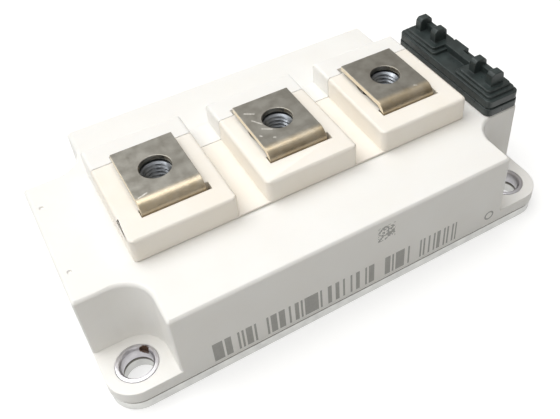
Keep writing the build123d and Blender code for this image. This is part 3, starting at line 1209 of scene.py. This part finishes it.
@dataclass
class PowerStage:
    """What lies inside the housing: substrates, chips, wires, links, tabs and gel."""

    finishes: tuple[tuple[tuple[str, ...], Finish], ...] = (
        (("control_tab",), PlainMetal(
            "tinned_brass_tab", light="#D2D0C8", dark="#B4B1A7", roughness=0.3, cloud=1.5)),
        (("substrate_1_tracks", "substrate_2_tracks", "substrate_1_base", "substrate_2_base"), PlainMetal(
            "rolled_copper", light="#C98A66", dark="#B1714F", roughness=0.32)),
        (("bond_wires",), PlainMetal(
            "drawn_aluminium_wire", light="#D5D7DA", dark="#B9BCC0", roughness=0.3, cloud=0.8)),
        (("igbt_chip", "diode_chip"), PlainSolid(
            "metallised_silicon", light="#8C8F96", dark="#70737B", roughness=0.2, ior=1.9)),
        (("gate_link",), PlainSolid(
            "heat_proof_sleeving", light="#7E8A96", dark="#6B7783", roughness=0.5)),
        (("silicone_gel",), PlainSolid(
            "silicone_gel", light="#F2F3F1", dark="#E9EBE8", roughness=0.12, ior=1.41, grain=6.0,
            transmission=0.9)),
        (("substrate",), PlainSolid(
            "fired_alumina", light="#F2EFE9", dark="#E6E2DA", roughness=0.38, ior=1.76)),
    )

    def build(self, nodes: Mapping[str, Object]) -> list[Object]:
        """Dress everything inside the housing.

        Args:
            nodes: the frame's nodes by name.

        Returns:
            The dressed nodes.
        """
        bare = dict(sorted(nodes.items()))
        dressed = []
        for starts, finish in self.finishes:
            material = finish.material()
            for name in [name for name in bare if name.startswith(starts)]:
                dress(bare[name], material)
                dressed.append(bare.pop(name))
        return dressed


@dataclass(frozen=True)
class Lamp:
    """A square soft lamp that faces the object: where it hangs and its side in metres, its power in watts."""

    name: str
    place: Triple
    power: float
    size: float

    def build(self) -> Object:
        """Hang the lamp.

        Returns:
            The lamp.
        """
        light = bpy.data.lights.new(self.name, "AREA")
        light.energy = self.power
        light.size = self.size
        lamp = bpy.data.objects.new(self.name, light)
        lamp.location = self.place
        lamp.visible_camera = False
        lamp.rotation_euler = Vector(self.place).to_track_quat("Z", "Y").to_euler()
        bpy.context.scene.collection.objects.link(lamp)
        return lamp


@dataclass
class Studio:
    """A pale floor, a soft dome with lamps behind, above and near the front, and the photograph's camera."""

    camera_at: Triple = (-51.6, -111.2, 132.2)
    camera_turn: Triple = (0.7965, -0.1912, -0.5219)
    lens: float = 47.37
    sensor: float = 36.0
    shift: tuple[float, float] = (-0.0804, -0.0795)
    nearest: float = 5.0
    lamps: tuple[Lamp, ...] = (
        Lamp("key_lamp", (-0.3, 0.25, 0.88), 5.75, 0.8),
        Lamp("top_lamp", (0.06, -0.005, 0.37), 0.1, 0.1),
        Lamp("fill_lamp", (-0.08, -0.2, 0.12), 0.034, 0.12),
    )
    floor_reach: float = 8.0
    dome_toward: Triple = (-0.45, 0.25, 0.85)
    dome_edge: float = -0.3         # cosine to that way at which the dome is at its dimmest
    dome_low: float = 0.06
    dome_high: float = 0.72
    dome_warm: str = "#FFF8EE"
    dome_white: str = "#FFFFFF"

    def add_floor(self) -> Object:
        """Lay the floor: pale and matt, white to the eye where it is lit, with the object's shadow kept.

        Returns:
            The floor.
        """
        shape = bmesh.new()
        bmesh.ops.create_grid(shape, x_segments=1, y_segments=1, size=self.floor_reach)
        floor = new_piece("studio_floor", shape, SMOOTH)
        dress(floor, MattPaper("matt_paper_floor").material())
        return floor

    def add_dome(self) -> None:
        """Light from all round: bright above on the left, dimmer and a little warmer away from there."""
        world = bpy.data.worlds.new("studio_dome")
        world.use_nodes = True
        world.node_tree.nodes.clear()
        graph = Graph(world.node_tree)
        way = graph.add("ShaderNodeTexCoord").outputs["Generated"]
        settings = {"operation": "DOT_PRODUCT", 1: tuple(Vector(self.dome_toward).normalized())}
        facing = graph.add("ShaderNodeVectorMath", settings, {0: way}).outputs["Value"]
        settings = {
            "From Min": self.dome_edge,
            "From Max": 1.0,
            "To Min": self.dome_low,
            "To Max": self.dome_high,
        }
        level = graph.add("ShaderNodeMapRange", settings, {"Value": facing}).outputs["Result"]
        tint = graph.ramp(level, (0.2, self.dome_warm), (0.6, self.dome_white))
        sky = graph.add("ShaderNodeBackground", links={"Color": tint, "Strength": level})
        graph.add("ShaderNodeOutputWorld", links={"Surface": sky.outputs[0]})
        bpy.context.scene.world = world

    def add_camera(self) -> Object:
        """Set up the photograph's camera.

        Returns:
            The camera.
        """
        data = bpy.data.cameras.new("photo_camera")
        data.sensor_width = self.sensor
        data.lens = self.lens
        data.shift_x, data.shift_y = self.shift
        data.clip_start = self.nearest * MM
        camera = bpy.data.objects.new("photo_camera", data)
        camera.location = Vector(self.camera_at) * MM
        turn = Vector(self.camera_turn)
        camera.rotation_euler = Matrix.Rotation(turn.length, 3, turn.normalized()).to_euler()
        bpy.context.scene.collection.objects.link(camera)
        bpy.context.scene.camera = camera
        return camera

    def build(self) -> list[Object]:
        """Set up the floor, the light and the camera.

        Returns:
            The floor, the lamps and the camera.
        """
        bpy.context.scene.view_settings.view_transform = "Standard"
        self.add_dome()
        return [self.add_floor(), *(lamp.build() for lamp in self.lamps), self.add_camera()]


def main() -> None:
    """Dress the module piece by piece and light it."""
    logging.basicConfig(level=logging.INFO, format="%(name)s: %(message)s")
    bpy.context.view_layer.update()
    nodes = frame["nodes"]
    for group in (
        Housing(),
        SkinnedPart("base_plate", "pressed_base", Edge.PRESSED, "base_metal", SealedBase(
            "nickel_plated_base")),
        # the insert's plastic is tinted warmer than the housing's as a painted warm bounce of light from the
        # deck
        SkinnedPart("nut_carrier", "moulded_insert", Edge.MOULDED, "white_plastic", MouldedPBT(
            "moulded_pbt_carrier_painted_warm_bounce", light="#F8F3EA", shade="#F6EFE3")),
        SkinnedPart("terminal", "bent_strip", Edge.STAMPED, "terminal_metal", NickelPlatedCopper(
            "nickel_plated_terminal"), count=3),
        TerminalNuts("terminal_nut", "threaded_nut", "nut_steel", PlainMetal(
            "zinc_plated_nut", light="#9DA1A6", dark="#7F8388", roughness=0.33, cloud=1.8, grain=0.12
        ), count=3, sharp=26.0),
        FixingSleeves("mount_sleeve", "flared_sleeve", "sleeve_steel", StainedSleeveSteel(
            "zinc_plated_sleeve", light="#E0DEE1", dark="#C8C6CB", roughness=0.33, cloud=2.4, grain=0.1
        ), count=4, sharp=30.0),
        SkinnedPart("shorting_cap", "moulded_cap", Edge.MOULDED_SOFT, "black_plastic", ConductivePlastic(
            "carbon_filled_cap")),
        PowerStage(),
    ):
        for piece in group.build(nodes):
            LOG.info("%s dressed %s", type(group).__name__, piece.name)
    for thing in Studio().build():
        LOG.info("studio has %s", thing.name)


if __name__ == "__main__":
    main()
